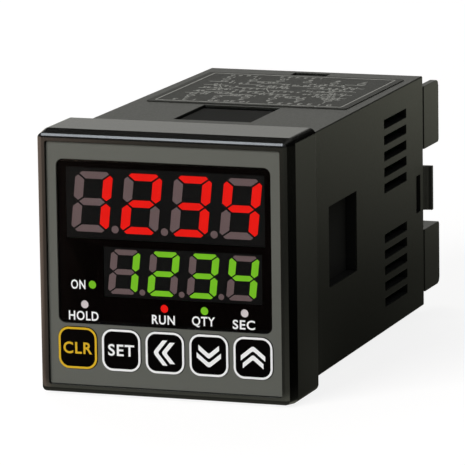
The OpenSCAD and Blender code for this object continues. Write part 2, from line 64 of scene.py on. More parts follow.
# Repeats per metre of the pattern in each kind of finish.
grainScale = {"drift": 70, "cloud": 420, "drawn": 900, "tarnish": 160, "haze": 220, "tracks": 180, "boardStain": 300,
              "bandStain": 200}
# What a moulded finish has where its own look says nothing else, with lengths in millimetres.
mouldedUsual = {"speck": 2600, "vary": 0.07, "fleck": 0.25, "mottle": 0.03, "bump": 0.2, "depth": 0.03, "edge": 0,
                "shine": 0.5, "inside": None}
fleckGain, rawRoughness, edgeSamples = 1.35, 0.95, 6
# Depths under the skin between which a moulding's finish changes: to unpolished plastic on the bezel, and to painted
# shade on the case, which darkens its slots, openings and inner walls.
bezelSkin, caseShadeDepths = (0.2 * mm, 0.5 * mm), (0.12 * mm, 0.4 * mm)
caseRearEdge = 0.6 * mm
# Thickness of a lamp's lens and the length over which its glow fades, in millimetres.
lensThick, lensFade = 0.2, 0.1
# Sockets of a colour mix.
mixFactor, mixColours, mixResult = 0, (6, 7), 2


def startFinish(name):
    finish = bpy.data.materials.new(name)
    finish.use_nodes = True
    tree = finish.node_tree
    place = tree.nodes.new("ShaderNodeTexCoord")
    return finish, tree, tree.nodes["Principled BSDF"], place


def grainNode(tree, place, scale, detail=2.0, stretch=None):
    grain = tree.nodes.new("ShaderNodeTexNoise")
    grain.inputs["Scale"].default_value = scale
    grain.inputs["Detail"].default_value = detail
    if stretch is None:
        tree.links.new(place.outputs["Object"], grain.inputs["Vector"])
    else:
        turn = tree.nodes.new("ShaderNodeMapping")
        turn.inputs["Scale"].default_value = stretch
        tree.links.new(place.outputs["Object"], turn.inputs["Vector"])
        tree.links.new(turn.outputs["Vector"], grain.inputs["Vector"])
    return grain.outputs["Fac"]


# Maps a value from one span to another. The usual span is the one that holds most of a noise.
def rangeNode(tree, value, low, high, fromLow=0.3, fromHigh=0.7):
    spread = tree.nodes.new("ShaderNodeMapRange")
    spread.inputs["From Min"].default_value = fromLow
    spread.inputs["From Max"].default_value = fromHigh
    spread.inputs["To Min"].default_value = low
    spread.inputs["To Max"].default_value = high
    tree.links.new(value, spread.inputs["Value"])
    return spread.outputs["Result"]


def blendNode(tree, value, first, second):
    blend = tree.nodes.new("ShaderNodeMix")
    blend.data_type = "RGBA"
    tree.links.new(value, blend.inputs[mixFactor])
    for slot, colour in zip(mixColours, (first, second)):
        if hasattr(colour, "node"):
            tree.links.new(colour, blend.inputs[slot])
        else:
            blend.inputs[slot].default_value = (*colour, 1)
    return blend.outputs[mixResult]


def tint(colour, share):
    return tuple(c * share for c in colour)


def mathNode(tree, kind, first, second):
    node = tree.nodes.new("ShaderNodeMath")
    node.operation = kind
    for k, value in enumerate((first, second)):
        if hasattr(value, "node"):
            tree.links.new(value, node.inputs[k])
        else:
            node.inputs[k].default_value = value
    return node.outputs[0]


def productNode(tree, first, *others):
    for other in others:
        first = mathNode(tree, "MULTIPLY", first, other)
    return first


def axisParts(tree, place):
    parts = tree.nodes.new("ShaderNodeSeparateXYZ")
    tree.links.new(place.outputs["Object"], parts.inputs[0])
    return parts.outputs["X"], parts.outputs["Y"], parts.outputs["Z"]


# How far a spot lies inside a moulding, from 0 at its outer skin to 1: unpolished plastic shows there on the bezel.
def bezelInside(tree, place):
    return rangeNode(tree, axisParts(tree, place)[1], 0, 1, *bezelSkin)


# On the case the same depth carries painted shade: its slots, openings and inner walls are darkened.
def caseInside(tree, place):
    x, y, z = axisParts(tree, place)
    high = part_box("case_sleeve")[1]
    rearHalf = max(v.co.x for v in nodes["case_sleeve"].data.vertices if v.co.y > high.y - caseRearEdge)
    wall = mathNode(tree, "ADD", mathNode(tree, "MULTIPLY", y, (rearHalf - high.x) / high.y), high.x)
    fromSide = mathNode(tree, "SUBTRACT", wall, mathNode(tree, "ABSOLUTE", x, 0))
    fromTop = mathNode(tree, "SUBTRACT", high.z, mathNode(tree, "ABSOLUTE", z, 0))
    fromBack = mathNode(tree, "SUBTRACT", high.y, y)
    nearest = mathNode(tree, "MINIMUM", mathNode(tree, "MINIMUM", fromSide, fromTop), fromBack)
    return rangeNode(tree, nearest, 0, 1, *caseShadeDepths)


# Moulded, printed and rubber surfaces: slow colour drift, fine speckle, grain in the gloss and a soft edge.
def mouldedFinish(name, look):
    finish, tree, shader, place = startFinish(name)
    look = {**mouldedUsual, **look}
    drift = grainNode(tree, place, grainScale["drift"], 3)
    speck = grainNode(tree, place, look["speck"], 2)
    colour = blendNode(tree, rangeNode(tree, drift, 0, 1), tint(look["colour"], 1 - look["vary"]),
                       tint(look["colour"], 1 + look["vary"]))
    fleck = blendNode(tree, rangeNode(tree, speck, 0, look["fleck"], 0.45, 0.8), colour,
                      tint(look["colour"], fleckGain))
    rough = rangeNode(tree, speck, look["roughness"] - look["mottle"], look["roughness"] + look["mottle"])
    bump = tree.nodes.new("ShaderNodeBump")
    bump.inputs["Strength"].default_value = look["bump"]
    bump.inputs["Distance"].default_value = look["depth"] * mm
    tree.links.new(speck, bump.inputs["Height"])
    if look["edge"]:
        soft = tree.nodes.new("ShaderNodeBevel")
        soft.samples = edgeSamples
        soft.inputs["Radius"].default_value = look["edge"] * mm
        tree.links.new(soft.outputs["Normal"], bump.inputs["Normal"])
    tree.links.new(bump.outputs["Normal"], shader.inputs["Normal"])
    shader.inputs["Specular IOR Level"].default_value = look["shine"]
    # Deep inside the moulding the colour is tinted: lighter unpolished plastic on the bezel, painted shade on the
    # case.
    if look["inside"]:
        depth = look["inside"](tree, place)
        fleck = blendNode(tree, depth, fleck, tint(look["colour"], look["rawTintAndShade"]))
        rough = mathNode(tree, "MAXIMUM", rough, mathNode(tree, "MULTIPLY", depth, rawRoughness))
    tree.links.new(fleck, shader.inputs["Base Color"])
    tree.links.new(rough, shader.inputs["Roughness"])
    return finish


# Light bars and lamp lenses: an even glow with a faint cloud in it. On the lamps that are off the glow is painted
# light.
def glowFinish(name, look):
    finish, tree, shader, place = startFinish(name)
    cloud = grainNode(tree, place, grainScale["cloud"], 2)
    colour = blendNode(tree, rangeNode(tree, cloud, 0, 1), tint(look["colour"], 0.96), tint(look["colour"], 1.03))
    tree.links.new(colour, shader.inputs["Emission Color"])
    if look.get("lens"):  # only the lens glows, and the body behind it stays dark
        front = rangeNode(tree, axisParts(tree, place)[1], look["glow"], 0.0, look["lens"] * mm,
                          (look["lens"] + lensFade) * mm)
        tree.links.new(front, shader.inputs["Emission Strength"])
    else:
        shader.inputs["Emission Strength"].default_value = look["glow"]
    body = blendNode(tree, rangeNode(tree, cloud, 0, 1), tint(look["body"], 0.95), tint(look["body"], 1.05))
    tree.links.new(body, shader.inputs["Base Color"])
    tree.links.new(rangeNode(tree, cloud, 0.5, 0.62), shader.inputs["Roughness"])
    shader.inputs["Specular IOR Level"].default_value = 0.15
    return finish


# Sheet metal and turned steel, drawn along one direction.
def metalFinish(name, look):
    finish, tree, shader, place = startFinish(name)
    drawn = grainNode(tree, place, grainScale["drawn"], 3, (1, 1, 6))
    stain = grainNode(tree, place, grainScale["tarnish"], 3)
    colour = blendNode(tree, rangeNode(tree, stain, 0, 1), tint(look["colour"], 0.9), tint(look["colour"], 1.06))
    tree.links.new(colour, shader.inputs["Base Color"])
    rough = look["roughness"]
    tree.links.new(rangeNode(tree, drawn, rough - 0.07, rough + 0.09), shader.inputs["Roughness"])
    bump = tree.nodes.new("ShaderNodeBump")
    bump.inputs["Strength"].default_value = 0.25
    bump.inputs["Distance"].default_value = 0.02 * mm
    tree.links.new(drawn, bump.inputs["Height"])
    tree.links.new(bump.outputs["Normal"], shader.inputs["Normal"])
    shader.inputs["Metallic"].default_value = 1.0
    return finish


# Smoked pane in front of the digits.
def paneFinish(name, look):
    finish, tree, shader, place = startFinish(name)
    haze = grainNode(tree, place, grainScale["haze"], 3)
    colour = blendNode(tree, rangeNode(tree, haze, 0, 1), look["colour"], tint(look["colour"], 1.4))
    tree.links.new(colour, shader.inputs["Base Color"])
    tree.links.new(rangeNode(tree, haze, look["roughness"] - 0.02, look["roughness"] + 0.03),
                   shader.inputs["Roughness"])
    shader.inputs["Specular IOR Level"].default_value = look["shine"]
    shader.inputs["Alpha"].default_value = look["alpha"]
    return finish


# Circuit board: laminate with copper tracks that show as lighter lines.
def boardFinish(name, look):
    finish, tree, shader, place = startFinish(name)
    tracks = tree.nodes.new("ShaderNodeTexBrick")
    tracks.inputs["Scale"].default_value = grainScale["tracks"]
    tracks.inputs["Mortar Size"].default_value = 0.06
    tracks.inputs["Color1"].default_value = (*look["colour"], 1)
    tracks.inputs["Color2"].default_value = (*tint(look["colour"], 0.85), 1)
    tracks.inputs["Mortar"].default_value = (*tint(look["colour"], 1.7), 1)
    turn = tree.nodes.new("ShaderNodeMapping")
    turn.inputs["Rotation"].default_value = (0.9, 0.6, 0.3)
    tree.links.new(place.outputs["Object"], turn.inputs["Vector"])
    tree.links.new(turn.outputs["Vector"], tracks.inputs["Vector"])
    stain = grainNode(tree, place, grainScale["boardStain"], 3)
    colour = blendNode(tree, rangeNode(tree, stain, 0, 0.35), tracks.outputs["Color"], tint(look["colour"], 0.7))
    tree.links.new(colour, shader.inputs["Base Color"])
    tree.links.new(rangeNode(tree, stain, 0.35, 0.5), shader.inputs["Roughness"])
    return finish


# Wound tape or stacked sheets: bands along one direction.
def bandFinish(name, look):
    finish, tree, shader, place = startFinish(name)
    bands = tree.nodes.new("ShaderNodeTexWave")
    bands.bands_direction = look["along"]
    bands.inputs["Scale"].default_value = look["count"]
    bands.inputs["Distortion"].default_value = 0.4
    tree.links.new(place.outputs["Object"], bands.inputs["Vector"])
    stain = grainNode(tree, place, grainScale["bandStain"], 3)
    bandColour = blendNode(tree, bands.outputs["Fac"], tint(look["colour"], 0.75), look["colour"])
    colour = blendNode(tree, rangeNode(tree, stain, 0, 0.3), bandColour, tint(look["colour"], 0.6))
    tree.links.new(colour, shader.inputs["Base Color"])
    tree.links.new(rangeNode(tree, stain, look["roughness"] - 0.05, look["roughness"] + 0.08),
                   shader.inputs["Roughness"])
    shader.inputs["Metallic"].default_value = look.get("metal", 0.0)
    return finish


bezelLook = {"colour": (0.0046, 0.0045, 0.0040), "roughness": 0.19, "mottle": 0.012, "speck": 3200, "bump": 0.01,
             "edge": 0.06, "shine": 0.5, "vary": 0.08, "fleck": 0.1, "inside": bezelInside, "rawTintAndShade": 3.1}
# The case's tint inside the moulding is painted shade that darkens its slots, openings and inner walls.
caseLook = {"colour": (0.0150, 0.0155, 0.0122), "roughness": 0.32, "speck": 2800, "bump": 0.1, "edge": 0.15,
            "shine": 0.38, "vary": 0.08, "fleck": 0.25, "inside": caseInside, "rawTintAndShade": 0.12}
terminalLook = {"colour": (0.046, 0.0462, 0.0390), "roughness": 0.34, "speck": 2800, "bump": 0.1, "edge": 0.2,
                "shine": 0.65}
sheetLook = {"colour": (0.122, 0.125, 0.110), "roughness": 0.5, "speck": 3600, "bump": 0.12, "depth": 0.02,
             "vary": 0.015, "fleck": 0.05, "shine": 0.25, "edge": 0.12}
paneLook = {"colour": (0.0016, 0.0010, 0.0010), "roughness": 0.1, "shine": 0.12, "alpha": 0.25}
maskLook = {"colour": (0.0024, 0.0012, 0.0010), "roughness": 0.7, "shine": 0.05, "vary": 0.2}
displayLook = {"colour": (0.0185, 0.0190, 0.0185), "roughness": 0.7, "shine": 0.1, "vary": 0.12, "speck": 2400,
               "fleck": 0.5}
redLook = {"colour": (1.0, 0.0125, 0.0080), "body": (0.10, 0.004, 0.003), "glow": 1.31}
greenLook = {"colour": (0.235, 0.67, 0.026), "body": (0.03, 0.08, 0.004), "glow": 1.2}
darkBarLook = {"colour": (0.45, 0.315, 0.315), "roughness": 0.55, "shine": 0.15, "vary": 0.03, "fleck": 0.08}
# The lamps that are off glow as well: painted light that makes their lenses look pale pink.
lampOffPaintedGlowLook = {"colour": (0.74, 0.67, 0.675), "body": (0.80, 0.71, 0.725), "glow": 0.91}
keyLook = {"colour": (0.0016, 0.0012, 0.0012), "roughness": 0.3, "shine": 0.04, "vary": 0.15, "bump": 0.08,
           "speck": 3200, "edge": 0.15}
inkWhiteLook = {"colour": (0.95, 0.95, 0.945), "roughness": 0.55, "shine": 0.2, "vary": 0.02, "fleck": 0.05,
                "bump": 0.05}
inkAmberLook = {"colour": (0.73, 0.455, 0.025), "roughness": 0.55, "shine": 0.2, "vary": 0.03, "fleck": 0.04,
                "bump": 0.05}
labelLook = {"colour": (0.0160, 0.0162, 0.0135), "roughness": 0.40, "shine": 0.25, "speck": 3000, "bump": 0.05}
labelInkLook = {"colour": (0.40, 0.40, 0.37), "roughness": 0.55, "shine": 0.2, "vary": 0.05, "bump": 0.05}
rubberLook = {"colour": (0.012, 0.012, 0.012), "roughness": 0.82, "shine": 0.3, "vary": 0.12, "bump": 0.35}

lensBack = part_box("lamp_on")[0].y / mm + lensThick

finishOf = {
    "bezel_plastic": mouldedFinish("bezelPlastic", bezelLook),
    "case_plastic": mouldedFinish("casePlastic", caseLook),
    "terminal_plastic": mouldedFinish("terminalPlastic", terminalLook),
    "sheet_grey": mouldedFinish("sheetGrey", sheetLook),
    "window_pane": paneFinish("smokedPane", paneLook),
    "mask_black": mouldedFinish("maskBlack", maskLook),
    "gasket_rubber": mouldedFinish("gasketRubber", rubberLook),
    "label_film": mouldedFinish("labelFilm", labelLook),
    "display_black": mouldedFinish("displayBlack", displayLook),
    "segment_red": glowFinish("litRed", redLook),
    "segment_green": glowFinish("litGreen", greenLook),
    "segment_dark": mouldedFinish("unlitBar", darkBarLook),
    "lamp_red": glowFinish("lampRed", {**redLook, "lens": lensBack}),
    "lamp_green": glowFinish("lampGreen", {**greenLook, "lens": lensBack}),
    "lamp_off": glowFinish("lampOffPaintedGlow", {**lampOffPaintedGlowLook, "lens": lensBack}),
    "key_black": mouldedFinish("keyBlack", keyLook),
    "screw_steel": metalFinish("screwSteel", {"colour": (0.62, 0.61, 0.58), "roughness": 0.34}),
    "clamp_steel": metalFinish("clampSteel", {"colour": (0.56, 0.56, 0.54), "roughness": 0.40}),
    "terminal_brass": metalFinish("terminalBrass", {"colour": (0.62, 0.55, 0.40), "roughness": 0.42}),
    "board_laminate": boardFinish("boardLaminate", {"colour": (0.02, 0.13, 0.05)}),
    "switch_body": mouldedFinish("switchBody", {"colour": (0.02, 0.02, 0.022), "roughness": 0.5}),
    "plunger_white": mouldedFinish("plungerWhite", {"colour": (0.65, 0.64, 0.60), "roughness": 0.5}),
    "core_steel": bandFinish("coreSteel", {"colour": (0.32, 0.32, 0.33), "roughness": 0.45, "along": "X",
                                           "count": 320, "metal": 0.8}),
    "winding_tape": bandFinish("windingTape", {"colour": (0.62, 0.42, 0.08), "roughness": 0.4, "along": "Y",
                                               "count": 110}),
    "capacitor_sleeve": mouldedFinish("capacitorSleeve", {"colour": (0.02, 0.03, 0.10), "roughness": 0.3}),
    "film_box": mouldedFinish("filmBox", {"colour": (0.42, 0.06, 0.02), "roughness": 0.35}),
    "part_black": mouldedFinish("partBlack", {"colour": (0.015, 0.015, 0.016), "roughness": 0.55}),
    "relay_cover": mouldedFinish("relayCover", {"colour": (0.70, 0.45, 0.05), "roughness": 0.35}),
    "isolator_white": mouldedFinish("isolatorWhite", {"colour": (0.70, 0.70, 0.68), "roughness": 0.45}),
}
inkWhite = mouldedFinish("inkWhite", inkWhiteLook)
inkAmber = mouldedFinish("inkAmber", inkAmberLook)
labelInk = mouldedFinish("labelInk", labelInkLook)

slotOf = {
    "bezel_plastic": ["front_bezel"], "sheet_grey": ["front_sheet"], "window_pane": ["display_window"],
    "mask_black": ["display_mask"], "gasket_rubber": ["panel_gasket"], "case_plastic": ["case_sleeve"],
    "label_film": ["wiring_label"], "terminal_plastic": ["terminal_block"], "screw_steel": ["terminal_screws"],
    "clamp_steel": ["terminal_clamps"], "terminal_brass": ["terminal_plates"],
    "board_laminate": ["display_board", "power_board", "signal_board", "rear_board"],
    "display_black": ["red_display", "green_display"], "segment_red": ["red_segments_lit"],
    "segment_green": ["green_segments_lit"], "segment_dark": ["red_segments_dark", "green_segments_dark"],
    "lamp_red": ["lamp_run"], "lamp_green": ["lamp_on", "lamp_count"], "lamp_off": ["lamp_hold", "lamp_time"],
    "key_black": ["key_clear", "key_set", "key_shift", "key_down", "key_up"],
    "switch_body": ["switch_%d" % k for k in range(1, 6)],
    "plunger_white": ["plunger_%d" % k for k in range(1, 6)],
    "core_steel": ["transformer_core"], "winding_tape": ["transformer_winding"],
    "capacitor_sleeve": ["main_capacitor"], "film_box": ["film_capacitor"],
    "part_black": ["rectifier", "processor", "power_link", "signal_link"],
    "relay_cover": ["relay"], "isolator_white": ["isolators"],
}
for slotName, members in slotOf.items():
    for member in members:
        solid = nodes[member]
        solid.data.materials.clear()
        solid.data.materials.append(finishOf[slotName])
print("finishes:", len(bpy.data.materials), "materials on", sum(len(m) for m in slotOf.values()), "solids")


# Shared makers

# Prints stand this far off the face they are on, in millimetres.
printLift = 0.01
# Height of a capital as a share of the font's size, and the steps in its curves.
capShare, letterSteps = 0.7, 5


def addObject(name, data):
    made = bpy.data.objects.new(name, data)
    scene.collection.objects.link(made)
    return made


def addPiece(name, mesh, body, finish):
    mesh.materials.clear()
    mesh.materials.append(finish)
    piece = addObject(name, mesh)
    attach(piece, body)
    return piece


# Joins the corners of a shape that was made of loose faces and turns its faces outwards.
def closeShape(shape):
    bmesh.ops.remove_doubles(shape, verts=shape.verts, dist=1e-7)
    bmesh.ops.recalc_face_normals(shape, faces=shape.faces)


def takeMesh(shape, name):
    closeShape(shape)
    mesh = bpy.data.meshes.new(name)
    shape.to_mesh(mesh)
    shape.free()
    return mesh


# A word as a thin plate in millimetres, centred, in the XY plane.
def wordPlate(text, capHeight, width, boldness, thick, spacing=1.0):
    letters = bpy.data.curves.new("letters", "FONT")
    letters.body = text
    letters.size = capHeight / capShare
    letters.offset = boldness
    letters.space_character = spacing
    letters.extrude = thick / 2
    letters.resolution_u = letterSteps
    holder = addObject("letters", letters)
    depsgraph = bpy.context.evaluated_depsgraph_get()
    plate = bpy.data.meshes.new_from_object(holder.evaluated_get(depsgraph))
    bpy.data.objects.remove(holder)
    bpy.data.curves.remove(letters)
    xs = [v.co.x for v in plate.vertices]
    ys = [v.co.y for v in plate.vertices]
    plate.transform(Matrix.Translation((-(min(xs) + max(xs)) / 2, -(min(ys) + max(ys)) / 2, 0)))
    if width:
        share = width / (max(xs) - min(xs))
        plate.transform(Matrix.Diagonal((share, 1, 1, 1)))
    return plate


# A flat outline with an optional hole of as many points, as a thin plate in the XY plane.
def outlinePlate(shape, outline, thick, hole=None):
    count = len(outline)

    def ring(points, z):
        return [shape.verts.new((x, y, z)) for x, y in points]

    def wall(first, second):
        for k in range(count):
            shape.faces.new((first[k], second[k], second[(k + 1) % count], first[(k + 1) % count]))

    top, base = ring(outline, thick / 2), ring(outline, -thick / 2)
    if hole is None:
        caps = [shape.faces.new(top), shape.faces.new(base[::-1])]
        wall(top, base)
        bmesh.ops.triangulate(shape, faces=caps)
    else:
        holeBase, holeTop = ring(hole, -thick / 2), ring(hole, thick / 2)
        for first, second in ((top, base), (base, holeBase), (holeBase, holeTop), (holeTop, top)):
            wall(first, second)


def circlePoints(radius, count, shift=0.0):
    angles = [2 * math.pi * (k + shift) / count for k in range(count)]
    return [(radius * math.cos(a), radius * math.sin(a)) for a in angles]


def roundBox(width, height, radius, steps=10):
    points = []
    for quarter, (sx, sy) in enumerate(((1, 1), (-1, 1), (-1, -1), (1, -1))):
        for k in range(steps + 1):
            a = math.pi / 2 * (quarter + k / steps)
            points.append((sx * (width / 2 - radius) + radius * math.cos(a),
                           sy * (height / 2 - radius) + radius * math.sin(a)))
    return points


def strokeOutline(a, b, wide):
    along = (Vector(b) - Vector(a)).normalized()
    across = Vector((-along.y, along.x)) * wide / 2
    tip = along * wide / 2
    return [tuple(Vector(a) - tip - across), tuple(Vector(b) + tip - across),
            tuple(Vector(b) + tip + across), tuple(Vector(a) - tip + across)]


# Adds a plate to a shape and drops its mesh.
def placePlate(shape, plate, place=Matrix.Identity(4)):
    plate.transform(place)
    shape.from_mesh(plate)
    bpy.data.meshes.remove(plate)


# Stands a plate that was made in the XY plane, in millimetres, upright at a spot on the front.
def standFront(x, y, z):
    return Matrix.Translation((x * mm, y * mm, z * mm)) @ Matrix.Rotation(math.pi / 2, 4, "X") @ Matrix.Scale(mm, 4)


# Words beside the lamps

captionLook = {"capHeight": 1.62, "boldness": 0.045, "thick": 0.03, "spacing": 1.12}
captions = [("ON", -16.42, -3.78, 2.75), ("HOLD", -15.49, -9.47, 5.7), ("RUN", -0.25, -9.43, 4.35),
            ("QTY", 7.36, -9.41, 4.35), ("SEC", 14.97, -9.48, 4.2)]
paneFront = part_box("display_window")[0].y / mm
words = bmesh.new()
for text, x, z, width in captions:
    placePlate(words, wordPlate(text, captionLook["capHeight"], width, captionLook["boldness"],
                                captionLook["thick"], captionLook["spacing"]),
               standFront(x, paneFront - printLift, z))
addPiece("window_captions", takeMesh(words, "window_captions"), "housing", inkWhite)
print("captions:", len(captions), "words")


# Prints on the keys

capDepth = 0.5 * mm
keyDraw = {"ring": 0.39, "inset": -0.1, "radius": 1.9, "thick": 0.03, "legend": 2.05, "boldness": 0.055,
           "spacing": 1.12}
bigBar = [(-2.3, -0.42), (-0.42, -1.94), (-0.2, -2.06), (0, -2.1), (0.2, -2.06), (0.42, -1.94), (2.3, -0.42),
          (2.3, 0.50), (0.25, -1.14), (0, -1.24), (-0.25, -1.14), (-2.3, 0.50)]
smallBar = [(-1.95, 0.96), (-0.3, -0.40), (-0.14, -0.50), (0, -0.53), (0.14, -0.50), (0.3, -0.40), (1.95, 0.96),
            (1.95, 1.90), (0.2, 0.46), (0, 0.38), (-0.2, 0.46), (-1.95, 1.90)]
# A word and its width, or the turn of the double chevron.
keyPrints = {"clear": ("CLR", 5.5), "set": ("SET", 5.0), "shift": (math.radians(-90), None),
             "down": (0.0, None), "up": (math.pi, None)}
for keyName, (legend, width) in keyPrints.items():
    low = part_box("key_" + keyName)[0]
    face = [v.co for v in nodes["key_" + keyName].data.vertices if v.co.y < low.y + capDepth]
    capXs, capZs = [c.x for c in face], [c.z for c in face]
    midX, midZ = (min(capXs) + max(capXs)) / 2 / mm, (min(capZs) + max(capZs)) / 2 / mm
    capW, capH = (max(capXs) - min(capXs)) / mm, (max(capZs) - min(capZs)) / mm
    inset, ring, thick = keyDraw["inset"], keyDraw["ring"], keyDraw["thick"]
    outW, outH, radius = capW - 2 * inset, capH - 2 * inset, keyDraw["radius"] - inset
    printed = bmesh.new()
    outlinePlate(printed, roundBox(outW, outH, radius), thick,
                 roundBox(outW - 2 * ring, outH - 2 * ring, radius - ring))
    if width:
        placePlate(printed, wordPlate(legend, keyDraw["legend"], width, keyDraw["boldness"], thick,
                                      keyDraw["spacing"]))
    else:
        turn = Matrix.Rotation(legend, 2)
        for bar in (bigBar, smallBar):
            outlinePlate(printed, [tuple(turn @ Vector(p)) for p in bar], thick)
    bmesh.ops.transform(printed, matrix=standFront(midX, low.y / mm - printLift, midZ), verts=printed.verts)
    addPiece("key_print_" + keyName, takeMesh(printed, "key_print_" + keyName), "key_%s_button" % keyName,
             inkAmber if keyName == "clear" else inkWhite)
print("key prints:", len(keyPrints))


# Repeated pieces by geometry nodes

# Sets copies of one shape on a flat grid, each turned by a random angle from a fixed seed.
def gridTree():
    tree = bpy.data.node_groups.new("copiesOnGrid", "GeometryNodeTree")
    face = tree.interface
    face.new_socket("Geometry", in_out="INPUT", socket_type="NodeSocketGeometry")
    inputs = [("Shape", "NodeSocketObject"), ("Across", "NodeSocketInt"), ("Rows", "NodeSocketInt"),
              ("Row Length", "NodeSocketFloat"), ("Row Distance", "NodeSocketFloat"), ("Tilt", "NodeSocketVector"),
              ("Middle", "NodeSocketVector"), ("Turn Low", "NodeSocketVector"), ("Turn High", "NodeSocketVector"),
              ("Seed", "NodeSocketInt"), ("Finish", "NodeSocketMaterial")]
    sockets = {label: face.new_socket(label, in_out="INPUT", socket_type=kind) for label, kind in inputs}
    face.new_socket("Geometry", in_out="OUTPUT", socket_type="NodeSocketGeometry")
    make = tree.nodes.new
    start, end = make("NodeGroupInput"), make("NodeGroupOutput")
    grid = make("GeometryNodeMeshGrid")
    stand = make("GeometryNodeTransform")
    shape = make("GeometryNodeObjectInfo")
    shape.transform_space = "ORIGINAL"
    angle = make("FunctionNodeRandomValue")
    angle.data_type = "FLOAT_VECTOR"
    copies = make("GeometryNodeInstanceOnPoints")
    real = make("GeometryNodeRealizeInstances")
    paint = make("GeometryNodeSetMaterial")
    join = tree.links.new
    join(start.outputs["Across"], grid.inputs["Vertices X"])
    join(start.outputs["Rows"], grid.inputs["Vertices Y"])
    join(start.outputs["Row Length"], grid.inputs["Size X"])
    join(start.outputs["Row Distance"], grid.inputs["Size Y"])
    join(grid.outputs["Mesh"], stand.inputs["Geometry"])
    join(start.outputs["Tilt"], stand.inputs["Rotation"])
    join(start.outputs["Middle"], stand.inputs["Translation"])
    join(start.outputs["Shape"], shape.inputs["Object"])
    join(start.outputs["Turn Low"], angle.inputs["Min"])
    join(start.outputs["Turn High"], angle.inputs["Max"])
    join(start.outputs["Seed"], angle.inputs["Seed"])
    join(stand.outputs["Geometry"], copies.inputs["Points"])
    join(shape.outputs["Geometry"], copies.inputs["Instance"])
    join(angle.outputs["Value"], copies.inputs["Rotation"])
    join(copies.outputs["Instances"], real.inputs["Geometry"])
    join(real.outputs["Geometry"], paint.inputs["Geometry"])
    join(start.outputs["Finish"], paint.inputs["Material"])
    join(paint.outputs["Geometry"], end.inputs["Geometry"])
    return tree, sockets


copiesTree, copiesSockets = gridTree()


def gridCopies(name, shapeMesh, values):
    shape = addObject(name + "_shape", shapeMesh)
    host = addObject(name + "_host", bpy.data.meshes.new(name + "_host"))
    rows = host.modifiers.new("copies", "NODES")
    rows.node_group = copiesTree
    for label, value in {**values, "Shape": shape}.items():
        rows[copiesSockets[label].identifier] = value
    depsgraph = bpy.context.evaluated_depsgraph_get()
    mesh = bpy.data.meshes.new_from_object(host.evaluated_get(depsgraph), depsgraph=depsgraph)
    mesh.name = name
    host.modifiers.remove(rows)
    for spare in (host, shape):
        bpy.data.objects.remove(spare)
    return mesh


# Turns a side profile (radius, depth), in millimetres, about the depth axis.
def turnedShape(profile, sides):
    shape = bmesh.new()
    rings = []
    for radius, depth in profile:
        if radius == 0:
            rings.append([shape.verts.new((0, depth * mm, 0))])
        else:
            rings.append([shape.verts.new((x, depth * mm, z)) for x, z in circlePoints(radius * mm, sides)])
    for first, second in zip(rings, rings[1:]):
        for k in range(sides):
            n = (k + 1) % sides
            corners = [first[k % len(first)], second[k % len(second)], second[n % len(second)], first[n % len(first)]]
            shape.faces.new(list(dict.fromkeys(corners)))
    return shape


# Cuts boxes, each a size and a centre in millimetres, out of a mesh.
def cutShape(mesh, cutters):
    body = addObject("body", mesh)
    tools = []
    for size, centre in cutters:
        tool = bmesh.new()
        bmesh.ops.create_cube(tool, size=1.0)
        grow = Matrix.Diagonal((*[s * mm for s in size], 1))
        bmesh.ops.transform(tool, verts=tool.verts, matrix=Matrix.Translation(Vector(centre) * mm) @ grow)
        tools.append(addObject("tool", takeMesh(tool, "tool")))
        cut = body.modifiers.new("cut", "BOOLEAN")
        cut.operation = "DIFFERENCE"
        cut.solver = "EXACT"
        cut.object = tools[-1]
    depsgraph = bpy.context.evaluated_depsgraph_get()
    result = bpy.data.meshes.new_from_object(body.evaluated_get(depsgraph), depsgraph=depsgraph)
    for spare in [body, *tools]:
        bpy.data.objects.remove(spare)
    return result


# Terminal screws: pan heads with a rounded rim, a cross slot and a threaded shank, two rows of six.
screwLow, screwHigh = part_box("terminal_screws")
perRow, rowCount = 6, 2
screwLook = {"headDia": 5.2, "headHeight": 2.0, "shankDia": 3.0, "slotLong": 3.4, "slotWide": 0.72, "slotDeep": 1.1,
             "crossLong": 2.6, "rim": 0.55, "tip": 0.35, "crest": 0.02, "root": 0.22, "threadStart": 0.3,
             "threadPitch": 0.5, "threadFree": 0.4, "sides": 32, "turn": 0.9, "seed": 4}
screwDeep = (screwHigh.y - screwLow.y) / mm
headR, shankR, headBase = screwLook["headDia"] / 2, screwLook["shankDia"] / 2, screwDeep - screwLook["headHeight"]
crestR, rootR, rimR = shankR - screwLook["crest"], shankR - screwLook["root"], screwLook["rim"]
thread = []
for k in range(int((headBase - screwLook["threadFree"]) / screwLook["threadPitch"])):
    crestY = screwLook["threadStart"] + screwLook["threadPitch"] * k
    thread += [(crestR, crestY), (rootR, crestY + screwLook["threadPitch"] / 2)]
rim = [(headR - rimR + rimR * math.sin(a), screwDeep - rimR + rimR * math.cos(a))
       for a in (math.radians(t) for t in range(90, -1, -15))]
screwProfile = [(0, 0), (shankR - screwLook["tip"], 0), *thread, (crestR, headBase), (headR, headBase), *rim,
                (0, screwDeep)]
slotDeep, slotWide = 2 * screwLook["slotDeep"], screwLook["slotWide"]
screwMesh = cutShape(takeMesh(turnedShape(screwProfile, screwLook["sides"]), "screw"), [
    ((screwLook["slotLong"], slotDeep, slotWide), (0, screwDeep, 0)),
    ((slotWide, slotDeep, screwLook["crossLong"]), (0, screwDeep, 0))])
across = (screwHigh.x - screwLow.x) - screwLook["headDia"] * mm
apart = (screwHigh.z - screwLow.z) - screwLook["headDia"] * mm
rowValues = {"Across": perRow, "Rows": rowCount, "Row Length": across, "Row Distance": apart,
             "Tilt": (math.pi / 2, 0, 0), "Seed": screwLook["seed"]}
screws = gridCopies("terminal_screw_set", screwMesh, {
    **rowValues, "Middle": (0, screwLow.y, 0), "Turn Low": (0, -screwLook["turn"], 0),
    "Turn High": (0, screwLook["turn"], 0), "Finish": finishOf["screw_steel"]})
screwSet = addPiece("terminal_screw_set", screws, "housing", finishOf["screw_steel"])
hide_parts("terminal_screws")

